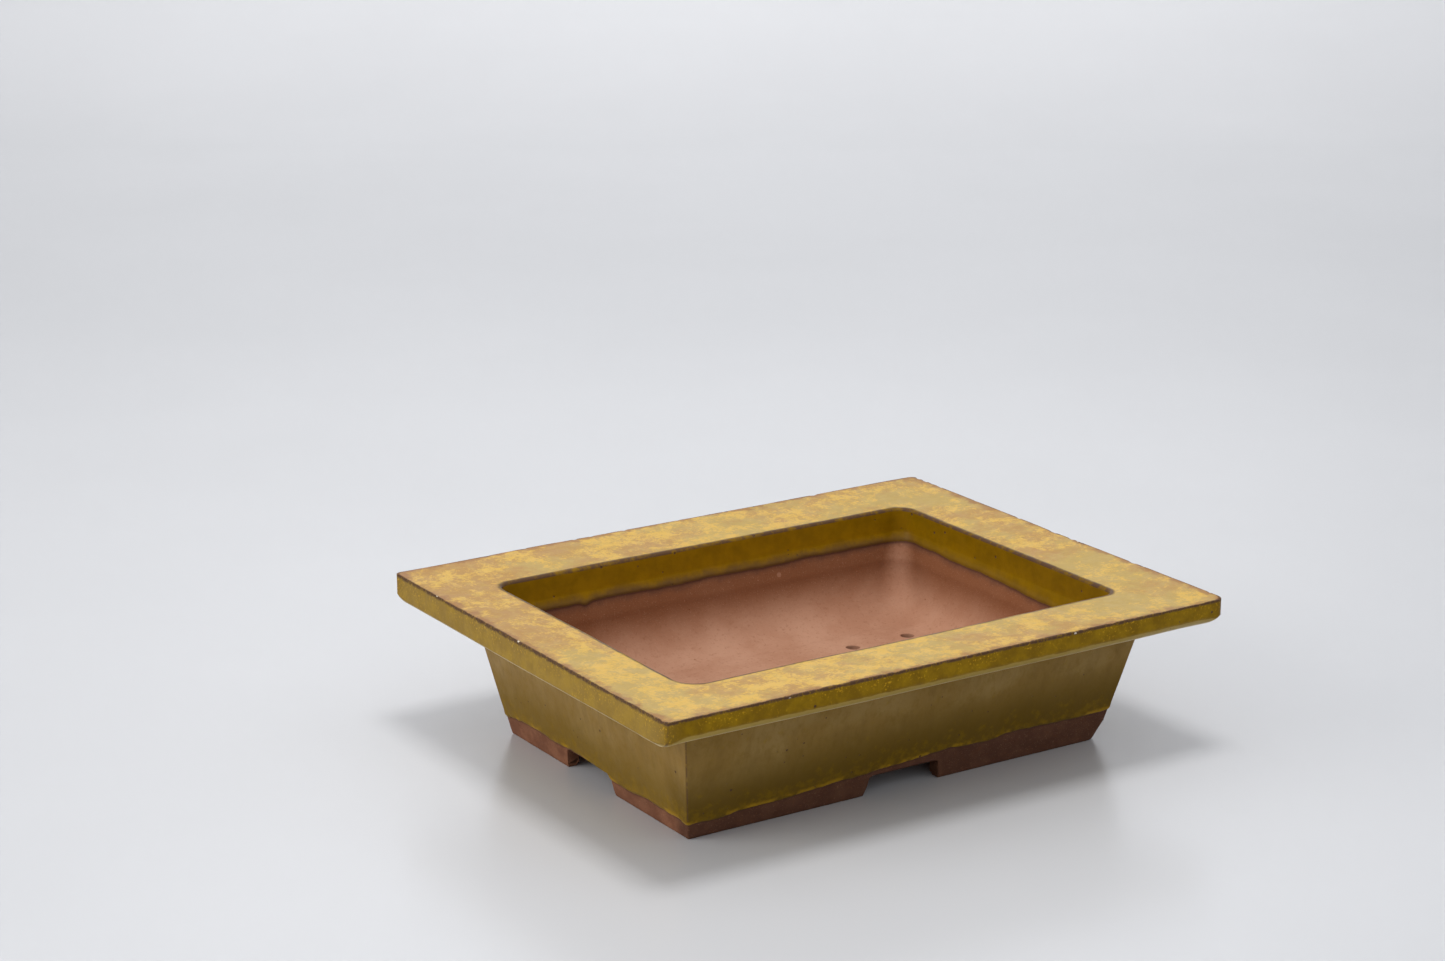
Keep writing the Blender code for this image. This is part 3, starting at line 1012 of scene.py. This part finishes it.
def stoneware(name, shift):
    """Glaze over clay. The mesh says where the glaze ends and which zone a point is in."""
    w = Weave(name)
    edge = w.plus(w.field("glaze_mm"), w.band(w.noise(0.9, 2), 0.0, 1.0, -0.3, 0.3))
    glazed = w.band(edge, -0.12, 0.12)
    inside, top, face = w.field("inside"), w.field("rim_top"), w.field("rim_face")
    fine = w.noise(0.8, 3, 0.6, shift=shift)
    top_colour = rim_top_colour(w, fine, shift)
    face_colour = rim_face_colour(w)
    outside_colour = wall_colour(w)
    lining_colour = inside_colour(w)
    glaze = w.mix(face, outside_colour, face_colour)
    glaze = w.mix(inside, glaze, lining_colour)
    glaze = w.mix(top, glaze, top_colour)
    # The glaze gathers in a bright bead along its own lower edge.
    bead = w.times(w.band(edge, 2.2, 0.6), w.band(w.noise(11, 3, 0.6, shift=0.9), 0.48, 0.62))
    bead = w.times(bead, w.minus(0.4, w.times(inside, 0.4)))
    glaze = w.mix(bead, glaze, FACE_SPECK)
    soft_edge = w.plus(edge, w.band(w.noise(8, 5, 0.6, shift=0.19), 0.3, 0.7, -0.9, 0.9))
    dark_edge = w.minus(inside, w.times(w.field("right_inside"), 0.6))
    glaze = w.mix(w.times(dark_edge, w.band(soft_edge, 4.5, 0.0, 0.0, 0.7)), glaze, BREAK_BROWN)
    cream = w.times(w.field("cream_line"), w.band(w.noise(7, 4, 0.6), 0.30, 0.52, 0.45, 0.9))
    glaze = w.mix(cream, glaze, CREAM)
    # It breaks to a dark line over the sharp edges, and is chipped here and there.
    arris = w.field("arris")
    broken = w.plus(w.noise(5, 4, 0.7, shift=0.4), w.times(arris, 0.30))
    dark = w.times(w.band(broken, 0.54, 0.70), w.band(arris, 0.20, 0.75))
    dark = w.times(dark, w.band(w.noise(1.1, 4, 0.7, shift=0.73), 0.34, 0.52, 0.35, 1.0))
    glaze = w.mix(w.times(dark, 0.9), glaze, BREAK_BROWN)
    corner = w.times(w.field("wall_corner"), w.band(w.noise(4, 4, 0.7, shift=0.1), 0.36, 0.52))
    glaze = w.mix(w.times(corner, 0.7), glaze, BREAK_BROWN)
    lip = w.times(w.field("lip"), w.band(w.noise(6, 4, 0.7, shift=0.6), 0.34, 0.56, 0.1, 0.85))
    glaze = w.mix(lip, glaze, BREAK_BROWN)
    chips = w.times(w.spots(5.5, 0.8, 0.22, 0.13), w.band(arris, 0.5, 0.9))
    glaze = w.mix(chips, glaze, CHIP)
    pits = w.math("MAXIMUM", w.spots(7, 0.66, 0.24, 0.31), w.spots(4, 0.36, 0.26, 0.77))
    pits = w.times(pits, w.minus(1.0, w.times(top, 0.75)))
    glaze = w.mix(w.times(pits, 0.85), glaze, BREAK_BROWN)

    clay, grit = clay_colour(w, inside, edge, soft_edge)
    w.feed(w.shader.inputs["Base Color"], w.mix(glazed, clay, glaze))
    satin = w.band(w.noise(6, 4, 0.6, shift=0.25), 0.3, 0.7, 0.30, 0.46)
    satin = w.plus(satin, w.times(top, 0.10))
    satin = w.blend(w.math("MAXIMUM", dark, pits), satin, 0.65)
    dull = w.band(grit, 0.3, 0.7, 0.62, 0.82)
    w.feed(w.shader.inputs["Roughness"], w.blend(glazed, dull, satin))
    w.shader.inputs["Specular IOR Level"].default_value = SPECULAR

    skin_height = w.times(w.noise(2.6, 3, 0.5, shift=0.35), 0.50)
    skin_height = w.plus(skin_height, w.times(fine, 0.18))
    skin_height = w.minus(skin_height, w.times(pits, 1.6))
    skin_height = w.minus(skin_height, w.times(chips, 1.2))
    clay_height = w.times(grit, 0.55)
    clay_height = w.plus(clay_height, w.times(w.noise(2.2, 4, 0.65), 0.9))
    bump = w.node("ShaderNodeBump")
    bump.inputs["Strength"].default_value = 1.0
    bump.inputs["Distance"].default_value = BUMP_DEPTH
    w.feed(bump.inputs["Height"], w.blend(glazed, clay_height, skin_height))
    w.feed(w.shader.inputs["Normal"], bump.outputs[0])
    return w.material


def show(piece, material, slot, *nodes):
    piece.data.materials.append(material)
    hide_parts(*nodes)
    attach(piece, "root")


rim_material = stoneware("mottled_rim_glaze", 0.0)
wall_material = stoneware("satin_wall_glaze", 0.15)
clay_material = stoneware("fired_red_clay", 0.45)
for side, side_name in enumerate(SIDE_NAMES):
    show(rim_strip(side), rim_material, "rim_glaze", f"rim_{side_name}")
    show(wall_slab(side), wall_material, "wall_glaze", f"wall_{side_name}")
    show(seam_coil(side), clay_material, "bare_clay", f"seam_coil_{side_name}")
for corner, corner_name in enumerate(CORNER_NAMES):
    show(corner_foot(corner), clay_material, "bare_clay", f"foot_{corner_name}")
show(floor_plate(), clay_material, "bare_clay", "floor_slab")


# ---- stage, lights and camera
# Lengths are in metres from here on.
FLOOR_COLOUR = (0.58, 0.58, 0.592)
FLOOR_SHADED = tuple(0.97 * part for part in FLOOR_COLOUR)
FLOOR_ROUGHNESS = 0.26
FLOOR_SPECULAR = 0.60
FLOOR_DROP = 0.00002  # keeps the floor just clear of the feet
WARM_WHITE = (1.0, 0.99, 0.97)
SKY_COLOUR = (0.93, 0.96, 1.0, 1.0)
SKY_LOW, SKY_HIGH = 0.56, 0.98
CAMERA_PLACE = (-0.65462, -0.95249, 0.43638)
CAMERA_VIEW = (0.52242, 0.80641, -0.27710)
CAMERA_LENS = 78.98


def make_stage():
    """A pale floor that curves up into a backdrop far behind the pot."""
    depth, reach, curve = 2.2, 4.0, 0.9
    line = [(-3.0, 0.0), (0.0, 0.0), (depth - curve, 0.0)]
    for turn in quarter(12, True)[1:]:
        line.append((depth - curve + curve * math.sin(turn), curve * (1 - math.cos(turn))))
    line.append((depth, 3.5))
    view = Vector((0.545, 0.838, 0.0)).normalized()
    across = Vector((view.y, -view.x, 0.0))
    points, faces = [], []
    for forward, up in line:
        for side in (-1, 1):
            point = view * forward + across * (side * reach) + Vector((0, 0, up - FLOOR_DROP))
            points.append(tuple(point))
    for index in range(len(line) - 1):
        faces.append((2 * index, 2 * index + 1, 2 * index + 3, 2 * index + 2))
    mesh = bpy.data.meshes.new("stage_floor")
    mesh.from_pydata(points, [], faces)
    mesh.polygons.foreach_set("use_smooth", [True] * len(faces))
    stage = bpy.data.objects.new("stage_floor", mesh)
    bpy.context.scene.collection.objects.link(stage)
    w = Weave("pale_floor")
    cloud = w.band(w.noise(260, 3, 0.5), 0.3, 0.7)
    w.feed(w.shader.inputs["Base Color"], w.mix(cloud, FLOOR_COLOUR, FLOOR_SHADED))
    w.shader.inputs["Roughness"].default_value = FLOOR_ROUGHNESS
    w.shader.inputs["Specular IOR Level"].default_value = FLOOR_SPECULAR
    mesh.materials.append(w.material)


def area_light(name, position, size, watts, colour=(1, 1, 1), aim=(0, 0, 0.03)):
    data = bpy.data.lights.new(name, "AREA")
    data.shape = "RECTANGLE"
    data.size, data.size_y = size
    data.energy = watts
    data.color = colour
    light = bpy.data.objects.new(name, data)
    light.location = position
    light.rotation_euler = (Vector(aim) - Vector(position)).to_track_quat("-Z", "Y").to_euler()
    bpy.context.scene.collection.objects.link(light)


make_stage()
area_light("overhead_panel", (-0.03, -0.14, 1.5), (0.4, 0.4), 9.0)
area_light("left_window", (-1.7, 0.35, 0.75), (1.2, 1.0), 15.0, WARM_WHITE)
area_light("backdrop_wash", (0.9, 1.4, 1.2), (1.6, 1.0), 11.0, aim=(1.5, 2.4, 0.3))
world = bpy.data.worlds.new("studio")
world.use_nodes = True
links, nodes = world.node_tree.links, world.node_tree.nodes
sky_place = nodes.new("ShaderNodeTexCoord")
sky_parts = nodes.new("ShaderNodeSeparateXYZ")
sky_rise = nodes.new("ShaderNodeMapRange")
sky_rise.inputs["To Min"].default_value = SKY_LOW
sky_rise.inputs["To Max"].default_value = SKY_HIGH
background = nodes["Background"]
background.inputs["Color"].default_value = SKY_COLOUR
links.new(sky_place.outputs["Generated"], sky_parts.inputs[0])
links.new(sky_parts.outputs["Z"], sky_rise.inputs["Value"])
links.new(sky_rise.outputs[0], background.inputs["Strength"])
bpy.context.scene.world = world
bpy.context.scene.view_settings.view_transform = "Standard"

camera_data = bpy.data.cameras.new("camera")
camera_data.sensor_width = 36.0
camera_data.lens = CAMERA_LENS
camera_data.clip_start = 0.01
camera = bpy.data.objects.new("camera", camera_data)
camera.location = CAMERA_PLACE
camera.rotation_euler = Vector(CAMERA_VIEW).to_track_quat("-Z", "Y").to_euler()
bpy.context.scene.collection.objects.link(camera)
bpy.context.scene.camera = camera

bpy.context.view_layer.update()
